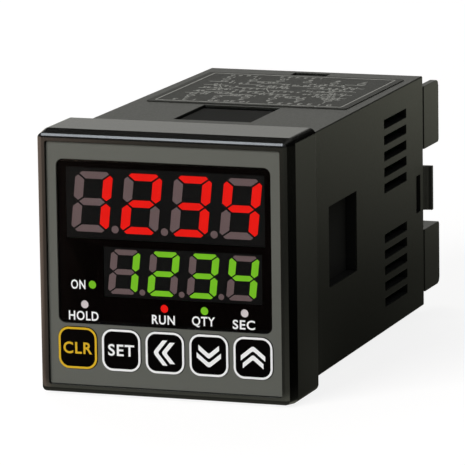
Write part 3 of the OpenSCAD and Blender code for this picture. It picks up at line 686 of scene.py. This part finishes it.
# Wire clamps: square washers with round corners and broken edges.
clampLow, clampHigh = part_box("terminal_clamps")
clampLook = {"wide": (clampHigh.x - clampLow.x - across) / mm, "thick": (clampHigh.y - clampLow.y) / mm,
             "hole": 3.2, "corner": 0.7, "chamfer": 0.16, "sharpAngle": 1.2, "turn": 0.03}
square = roundBox(clampLook["wide"], clampLook["wide"], clampLook["corner"])
clampShape = bmesh.new()
outlinePlate(clampShape, square, clampLook["thick"], circlePoints(clampLook["hole"] / 2, len(square), 0.5))
closeShape(clampShape)
sharp = [e for e in clampShape.edges if len(e.link_faces) == 2 and e.calc_face_angle() > clampLook["sharpAngle"]]
bmesh.ops.bevel(clampShape, geom=sharp, offset=clampLook["chamfer"], segments=2, affect="EDGES")
bmesh.ops.transform(clampShape, matrix=standFront(0, 0, 0), verts=clampShape.verts)
clamps = gridCopies("wire_clamp_set", takeMesh(clampShape, "clamp"), {
    **rowValues, "Middle": (0, (clampLow.y + clampHigh.y) / 2, 0), "Turn Low": (0, -clampLook["turn"], 0),
    "Turn High": (0, clampLook["turn"], 0), "Finish": finishOf["clamp_steel"]})
clampSet = addPiece("wire_clamp_set", clamps, "housing", finishOf["clamp_steel"])
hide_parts("terminal_clamps")
print("terminals:", len(screws.polygons), "screw faces,", len(clamps.polygons), "clamp faces")


# Print on the wiring label

labelLow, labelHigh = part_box("wiring_label")
labelDraw = {"thick": 0.03, "line": 0.2, "border": 1.25, "borderLine": 0.33, "borderRound": (0.5, 0.2),
             "roundSteps": 4, "ringDia": 1.7, "ringLine": 0.22, "ringSides": 32, "figure": 1.45, "figureOff": 2.3,
             "figureBold": 0.03, "groupBold": 0.035, "groupSpacing": 1.15, "rowGap": 20.4, "squeeze": 0.8,
             "leadStart": 1.1}
labelThick = labelDraw["thick"]
labelMidY = (labelLow.y + labelHigh.y) / 2 / mm
labelTop = labelHigh.z / mm
onTop = (0, labelMidY * mm, (labelTop + printLift) * mm)
wide = 2 * ((labelHigh.x - labelLow.x) / 2 / mm - labelDraw["border"])
long = 2 * ((labelHigh.y - labelLow.y) / 2 / mm - labelDraw["border"])
outRound, inRound = labelDraw["borderRound"]
inset = 2 * labelDraw["borderLine"]
drawn = bmesh.new()
outlinePlate(drawn, roundBox(wide, long, outRound, labelDraw["roundSteps"]), labelThick,
             roundBox(wide - inset, long - inset, inRound, labelDraw["roundSteps"]))
gap = across / (perRow - 1) / mm * labelDraw["squeeze"]
rowY = labelDraw["rowGap"] / 2
# Leads from the rings: the ring's place in its row, and how far from the row the line reaches. Then slanted lines.
leadY = rowY - labelDraw["leadStart"]
strokes = [((place * gap, leadY), (place * gap, rowY - reach))
           for place, reach in ((-2.5, 4.2), (-0.5, 2.2), (0.5, 3.2), (2.5, 5.2))]
strokes += [((place * gap, -leadY), (place * gap, -rowY + reach))
            for place, reach in ((-1.5, 3.3), (0.5, 2.2), (1.5, 4.6))]
strokes += [((-2.2 * gap, 2.8), (-1.9 * gap, -0.6)), ((0.1 * gap, 3.0), (0.4 * gap, -0.4)),
            ((1.9 * gap, 1.6), (2.2 * gap, -1.8))]
# Level lines: the height on the label, then the ends of each dash.
dashes = [(8.9, (-15.5, -12.1), (-8.4, -4.6), (3.9, 8.2)),
          (7.0, (-16, -10.4), (-6.9, -2.1), (2.7, 9.4), (11.5, 15.8)),
          (5.0, (-13.2, -9.6), (-4.2, 3.1), (7.7, 14.9)), (3.0, (-15.9, -8.3), (1.6, 6.4), (9.8, 12.9)),
          (1.0, (-11.4, -6.8), (-3.2, 0.9), (8.4, 15.2)), (-0.9, (-15.4, -10.2), (2.2, 9.7)),
          (-2.9, (-12.6, -5.3), (-1.2, 4.4), (10.6, 15.6)), (-4.9, (-15.8, -12.4), (-7.9, -1.4), (4.8, 9.3)),
          (-6.9, (-11.2, -6.1), (-0.4, 5.7), (12.2, 15.9)), (-8.8, (-14.6, -10.8), (3.3, 8.8))]
for v, *spans in dashes:
    strokes += [((first, v), (last, v)) for first, last in spans]
for a, b in strokes:
    outlinePlate(drawn, strokeOutline(a, b, labelDraw["line"]), labelThick)
for k in range(perRow):
    rowEnd = rowY + labelDraw["figureOff"]
    for number, y in ((k + 1, rowEnd), (k + 1 + perRow, -rowEnd)):
        placePlate(drawn, wordPlate(str(number), labelDraw["figure"], None, labelDraw["figureBold"], labelThick),
                   Matrix.Translation(((k - (perRow - 1) / 2) * gap, y, 0)))
# Rows of plain numbers: the height on the label, the size, and each group's middle and figures.
numberRows = [(15.0, 1.45, ((-9.6, "0 1 2 3 4 5 6"), (4.4, "10 20 30"), (13.2, "1 2 3"))),
              (8.0, 1.0, ((-13.4, "24 48"), (-5.4, "0 5 10 15"), (4.0, "100 200"), (12.8, "50 60"))),
              (6.0, 1.0, ((-11.8, "1 10 100"), (-1.2, "2 4 8 16"), (9.6, "30 60 90"))),
              (4.0, 1.15, ((-10.6, "5 10 15 20"), (3.4, "0 1 2 3 4 5"), (13.8, "99"))),
              (2.0, 1.0, ((-12.8, "12 24"), (-2.6, "3 6 9 12"), (8.8, "0 9 18 27"))),
              (0.1, 1.0, ((-8.4, "40 80 120"), (4.6, "1 2 3 4"), (13.0, "16 32"))),
              (-1.9, 1.0, ((-12.2, "7 14 21"), (0.4, "50 100"), (10.8, "6 12 18"))),
              (-3.9, 1.15, ((-10.8, "0 2 4 6 8"), (2.2, "25 50 75"), (13.2, "10"))),
              (-5.9, 1.0, ((-12.6, "1 3 5"), (-3.0, "20 30 40 50"), (9.6, "0 8 16"))),
              (-7.9, 1.0, ((-7.4, "9 18 27 36"), (4.8, "60 90"), (12.6, "5 25"))),
              (-15.0, 1.2, ((0.2, "1 2 3 4 5 6"), (11.6, "7 8 9 0")))]
for v, tall, groups in numberRows:
    for middle, group in groups:
        placePlate(drawn, wordPlate(group, tall, None, labelDraw["groupBold"], labelThick, labelDraw["groupSpacing"]),
                   Matrix.Translation((middle, v, 0)))
onLabel = Matrix.Translation(onTop) @ Matrix.Rotation(math.pi, 4, "Z") @ Matrix.Scale(mm, 4)
bmesh.ops.transform(drawn, matrix=onLabel, verts=drawn.verts)
addPiece("label_print", takeMesh(drawn, "label_print"), "housing", labelInk)

ringOut, ringIn = labelDraw["ringDia"] / 2, labelDraw["ringDia"] / 2 - labelDraw["ringLine"]
ringShape = bmesh.new()
outlinePlate(ringShape, circlePoints(ringOut, labelDraw["ringSides"]), labelThick,
             circlePoints(ringIn, labelDraw["ringSides"]))
bmesh.ops.transform(ringShape, matrix=Matrix.Scale(mm, 4), verts=ringShape.verts)
rings = gridCopies("label_rings", takeMesh(ringShape, "ring"), {
    "Across": perRow, "Rows": rowCount, "Row Length": (perRow - 1) * gap * mm, "Row Distance": 2 * rowY * mm,
    "Tilt": (0, 0, 0), "Middle": onTop, "Turn Low": (0, 0, 0), "Turn High": (0, 0, 0), "Seed": 1, "Finish": labelInk})
addPiece("label_rings", rings, "housing", labelInk)
print("label: border,", len(strokes), "lines,", sum(len(row[2]) for row in numberRows), "groups of numbers,",
      perRow * rowCount, "numbered rings")


# Floor, light and camera

stageLook = {"floorColour": (0.25, 0.245, 0.24), "floorGlow": 0.86, "reach": 3.0, "floorGap": 0.05 * mm,
             "ambient": 0.10, "farDark": 0.008, "backGlow": 0.59, "frontGlow": 0.35, "lineGlow": 12.5,
             "highGlow": 0.35, "nearRight": 0.048, "floorRight": 0.256, "rearGain": (0.64, 1.85),
             "bezelNear": 0.056, "bezelBand": 0.1, "rearFloor": 0.8, "rimLeft": 1.2, "rimFar": 0.12, "rimRight": 0.6,
             "rimTop": 0.55, "floorFront": 1.1, "floorLeft": 1.75, "leftRear": 0.6, "steepFloor": 0.4}
stageTone = {"plain": (1, 1, 1), "floor": (1, 1.02, 0.82), "warm": (1, 0.76, 0.61), "room": (1, 1, 0.94),
             "cool": (0.88, 0.94, 1)}
# Where each patch of floor that shows only in reflections begins and ends, in metres. Grazing and steep are
# heights of the ray's direction.
floorSpan = {"bezelFront": (-0.0125, -0.0112), "grazing": (0.26, 0.36), "steep": (0.38, 0.52),
             "farRight": (0.07, 0.19), "rightBand": (-0.046, -0.024), "rearGain": (-0.02, 0.045),
             "bezelStart": (-0.092, -0.080), "bezelEnd": (-0.062, -0.056), "bezelFar": (0.054, 0.13),
             "rear": (0.12, 0.2), "rimLeft": (-0.0182, -0.0165), "rimLeftNear": (-0.020, -0.017),
             "rimRight": (0.0265, 0.0300), "rimRightFar": (-0.15, -0.04), "rimRightNear": (-0.022, -0.018),
             "rimTop": (-0.252, -0.236), "frontStart": (-0.026, -0.0225), "frontEnd": (-0.0185, -0.0166),
             "farLeft": (-0.07, -0.03), "leftBand": (0.016, 0.026)}
# Slopes of the floor's lines in x and y that belong to these patches.
floorSlope = {"rearward": 0.25, "sideLine": 2.815, "rightBand": 1.6, "rimX": 0.355, "leftBand": 0.5}
# The same for the room, as parts of the direction in which it is seen.
roomSpan = {"behind": (0.3, 0.8), "leftward": (-0.12, 0.08), "lowStrip": (0.23, 0.30), "front": (-0.6, -0.3),
            "frontLow": (0.16, 0.26), "lineLeft": (-0.48, -0.44), "lineRight": (-0.22, -0.18),
            "lineLow": (0.40, 0.43), "lineHigh": (0.52, 0.55), "lineFront": (-0.4, -0.2), "high": (0.50, 0.64),
            "cool": (-0.4, -0.2)}


def rayShare(tree, names):
    path = tree.nodes.new("ShaderNodeLightPath")
    total = path.outputs[names[0]]
    for name in names[1:]:
        total = mathNode(tree, "MAXIMUM", total, path.outputs[name])
    return total


# Painted reflections: the floor glows for glossy rays in patches placed by where on the object the mirrored ray
# starts, so each patch lands on one face. It returns how bright that is, and how much of that is warm.
def mirroredFloor(tree):
    x, y, _ = axisParts(tree, tree.nodes.new("ShaderNodeTexCoord"))
    ray = tree.nodes.new("ShaderNodeSeparateXYZ")
    tree.links.new(tree.nodes.new("ShaderNodeNewGeometry").outputs["Incoming"], ray.inputs[0])
    rayLength = tree.nodes.new("ShaderNodeLightPath").outputs["Ray Length"]

    def patch(value, low, high, span):
        return rangeNode(tree, value, low, high, *floorSpan[span])

    def slanted(kind, first, second, slope):
        return mathNode(tree, kind, first, mathNode(tree, "MULTIPLY", second, floorSlope[slope]))

    # Where the mirrored ray left the object, and how steeply it comes down.
    sourceY = mathNode(tree, "ADD", y, mathNode(tree, "MULTIPLY", ray.outputs["Y"], rayLength))
    fromFront = patch(sourceY, 1, 0, "bezelFront")
    fromSide = mathNode(tree, "SUBTRACT", 1.0, fromFront)
    grazing = patch(ray.outputs["Z"], 1, 0, "grazing")
    steep = patch(ray.outputs["Z"], 0, stageLook["steepFloor"], "steep")
    # The right side mirrors the floor along lines of one depth on the object.
    rearward = slanted("ADD", x, y, "rearward")
    sideLine = slanted("SUBTRACT", y, x, "sideLine")
    farRight = patch(rearward, stageLook["nearRight"], stageLook["floorRight"], "farRight")
    rightBand = patch(slanted("SUBTRACT", y, x, "rightBand"), 0, 1, "rightBand")
    rightSide = productNode(tree, farRight, rightBand, patch(sideLine, *stageLook["rearGain"], "rearGain"))
    bezelBand = productNode(tree, patch(sideLine, 0, 1, "bezelStart"), patch(sideLine, 1, 0, "bezelEnd"),
                            patch(rearward, stageLook["bezelNear"], stageLook["bezelBand"], "bezelFar"))
    rearFloor = patch(sideLine, 0, stageLook["rearFloor"], "rear")
    # The flat rim mirrors the floor in front along lines of one x on the rim.
    rimX = slanted("SUBTRACT", x, y, "rimX")
    rimLeft = productNode(tree, patch(rimX, stageLook["rimLeft"], 0, "rimLeft"), patch(y, 1, 0, "rimLeftNear"))
    rimRight = productNode(tree, patch(rimX, 0, 1, "rimRight"),
                           patch(y, stageLook["rimFar"], stageLook["rimRight"], "rimRightFar"),
                           patch(y, 1, 0, "rimRightNear"))
    rimTop = patch(y, stageLook["rimTop"], 0, "rimTop")
    nearFront = productNode(tree, patch(y, 0, stageLook["floorFront"], "frontStart"), patch(y, 1, 0, "frontEnd"))
    rims = mathNode(tree, "ADD", nearFront, mathNode(tree, "MAXIMUM", rimRight, rimTop))
    # The left of the front edge mirrors a warm patch, and the left side a neutral one.
    farLeft = patch(x, 1, 0, "farLeft")
    leftBand = rangeNode(tree, mathNode(tree, "SUBTRACT", mathNode(tree, "MULTIPLY", y, floorSlope["leftBand"]), x),
                         0, 1, *floorSpan["leftBand"])
    leftFront = productNode(tree, farLeft, leftBand, stageLook["floorLeft"])
    leftFront = productNode(tree, mathNode(tree, "MAXIMUM", leftFront, rimLeft), fromFront)
    leftRear = productNode(tree, farLeft, fromSide, stageLook["leftRear"])
    fronts = mathNode(tree, "MULTIPLY", mathNode(tree, "ADD", leftFront, rims), grazing)
    sides = mathNode(tree, "ADD", mathNode(tree, "ADD", rightSide, leftRear), bezelBand)
    sides = mathNode(tree, "MAXIMUM", mathNode(tree, "MAXIMUM", sides, rearFloor), steep)
    return mathNode(tree, "ADD", sides, fronts), mathNode(tree, "MULTIPLY", leftFront, grazing)


floorMesh = bpy.data.meshes.new("floor")
r, z = stageLook["reach"], cadLow.z - stageLook["floorGap"]
floorMesh.from_pydata([(-r, -r, z), (r, -r, z), (r, r, z), (-r, r, z)], [], [(0, 1, 2, 3)])
floor = addObject("floor", floorMesh)
floorFinish = bpy.data.materials.new("paleFloor")
floorFinish.use_nodes = True
tree = floorFinish.node_tree
tree.nodes.remove(tree.nodes["Principled BSDF"])
matt = tree.nodes.new("ShaderNodeBsdfDiffuse")
glow = tree.nodes.new("ShaderNodeEmission")
isGloss = rayShare(tree, ["Is Glossy Ray"])
seen = mathNode(tree, "MULTIPLY", rayShare(tree, ["Is Camera Ray", "Is Transmission Ray"]), stageLook["floorGlow"])
mirrored, warm = mirroredFloor(tree)
tree.links.new(blendNode(tree, isGloss, stageLook["floorColour"], (0, 0, 0)), matt.inputs["Color"])
tree.links.new(mathNode(tree, "ADD", mathNode(tree, "MULTIPLY", mirrored, isGloss), seen), glow.inputs["Strength"])
tone = blendNode(tree, isGloss, stageTone["plain"], stageTone["floor"])
tree.links.new(blendNode(tree, mathNode(tree, "MULTIPLY", warm, isGloss), tone, stageTone["warm"]),
               glow.inputs["Color"])
both = tree.nodes.new("ShaderNodeAddShader")
tree.links.new(matt.outputs[0], both.inputs[0])
tree.links.new(glow.outputs[0], both.inputs[1])
tree.links.new(both.outputs[0], tree.nodes["Material Output"].inputs["Surface"])
floorMesh.materials.append(floorFinish)


# What the room sends to each face that mirrors it, by its direction.
def mirroredRoom(tree, x, y, z):
    def patch(value, low, high, span):
        return rangeNode(tree, value, low, high, *roomSpan[span])

    # A low strip behind the object on the left, and the upper part of the room.
    strip = productNode(tree, patch(y, 0, stageLook["backGlow"], "behind"), patch(x, 1, 0, "leftward"),
                        patch(z, 1, 0, "lowStrip"))
    high = patch(z, 0, stageLook["highGlow"], "high")
    frontHigh = productNode(tree, patch(y, stageLook["frontGlow"], 0, "front"), patch(z, 0, 1, "frontLow"))
    # A narrow strip in front gives the bezel its bright top line.
    lineWide = productNode(tree, patch(x, 0, 1, "lineLeft"), patch(x, 1, 0, "lineRight"))
    lineTall = productNode(tree, patch(z, 0, 1, "lineLow"), patch(z, 1, 0, "lineHigh"))
    line = productNode(tree, lineWide, lineTall, patch(y, stageLook["lineGlow"], 0, "lineFront"))
    front = mathNode(tree, "ADD", frontHigh, line)
    lit = mathNode(tree, "ADD", mathNode(tree, "MAXIMUM", strip, high), front)
    return mathNode(tree, "ADD", lit, stageLook["farDark"]), patch(y, 1, 0, "cool")


# The room is white to the eye, lights the object evenly and shows its strips only in reflections.
world = bpy.data.worlds.new("room")
scene.world = world
world.use_nodes = True
tree = world.node_tree
room = tree.nodes["Background"]
heading = tree.nodes.new("ShaderNodeSeparateXYZ")
tree.links.new(tree.nodes.new("ShaderNodeTexCoord").outputs["Generated"], heading.inputs[0])
glossRoom, cool = mirroredRoom(tree, *(heading.outputs[axis] for axis in "XYZ"))
isGloss = rayShare(tree, ["Is Glossy Ray"])
seen = rayShare(tree, ["Is Camera Ray", "Is Transmission Ray"])
lit = mathNode(tree, "ADD", mathNode(tree, "MULTIPLY", glossRoom, isGloss),
               mathNode(tree, "MULTIPLY", mathNode(tree, "SUBTRACT", 1.0, isGloss), stageLook["ambient"]))
strength = mathNode(tree, "ADD", mathNode(tree, "MULTIPLY", mathNode(tree, "SUBTRACT", 1.0, seen), lit), seen)
tree.links.new(strength, room.inputs["Strength"])
tone = blendNode(tree, isGloss, stageTone["plain"], stageTone["room"])
tree.links.new(blendNode(tree, mathNode(tree, "MULTIPLY", cool, isGloss), tone, stageTone["cool"]),
               room.inputs["Color"])

# Soft boxes light the matt surfaces and don't show in reflections. Sizes are in metres.
softBoxes = {"frontBox": {"place": (-0.30, -0.72, 0.40), "aim": (0, 0, 0), "size": (0.5, 0.36), "watts": 7.1},
             "backBox": {"place": (-0.35, 0.75, 0.75), "aim": (0, 0.03, 0), "size": (0.7, 0.5), "watts": 3.6}}
for name, box in softBoxes.items():
    lamp = bpy.data.lights.new(name, "AREA")
    lamp.shape = "RECTANGLE"
    lamp.size, lamp.size_y = box["size"]
    lamp.energy = box["watts"]
    holder = addObject(name, lamp)
    holder.location = box["place"]
    holder.rotation_euler = (Vector(box["aim"]) - Vector(box["place"])).to_track_quat("-Z", "Y").to_euler()
    holder.visible_camera = False
    holder.visible_glossy = False

# The camera's angles are in degrees and its lengths in millimetres; pixelsAway is its focal length in pixels.
cameraLook = {"azimuth": 19.55, "elevation": 10.61, "roll": -0.81, "distance": 926.0, "pixelsAway": 4967.0,
              "offsetRight": -2.517, "offsetUp": -1.547, "aim": (0, 30, 0), "frame": 465, "sensor": 36}
azimuth, elevation, roll = (math.radians(cameraLook[k]) for k in ("azimuth", "elevation", "roll"))
back = Vector((math.sin(azimuth) * math.cos(elevation), -math.cos(azimuth) * math.cos(elevation),
               math.sin(elevation)))
right = (-back).cross(Vector((0, 0, 1))).normalized()
up = right.cross(-back)
right, up = (math.cos(roll) * right + math.sin(roll) * up, -math.sin(roll) * right + math.cos(roll) * up)
aim = Vector(cameraLook["aim"]) + right * cameraLook["offsetRight"] + up * cameraLook["offsetUp"]
spot = (aim + back * cameraLook["distance"]) * mm
lens = bpy.data.cameras.new("camera")
lens.sensor_width = cameraLook["sensor"]
lens.lens = cameraLook["pixelsAway"] / cameraLook["frame"] * cameraLook["sensor"]
camera = addObject("camera", lens)
camera.matrix_world = Matrix(((right.x, up.x, back.x, spot.x), (right.y, up.y, back.y, spot.y),
                              (right.z, up.z, back.z, spot.z), (0, 0, 0, 1)))
scene.camera = camera
print("stage: floor, room, two soft boxes, camera lens %.1f mm" % lens.lens)
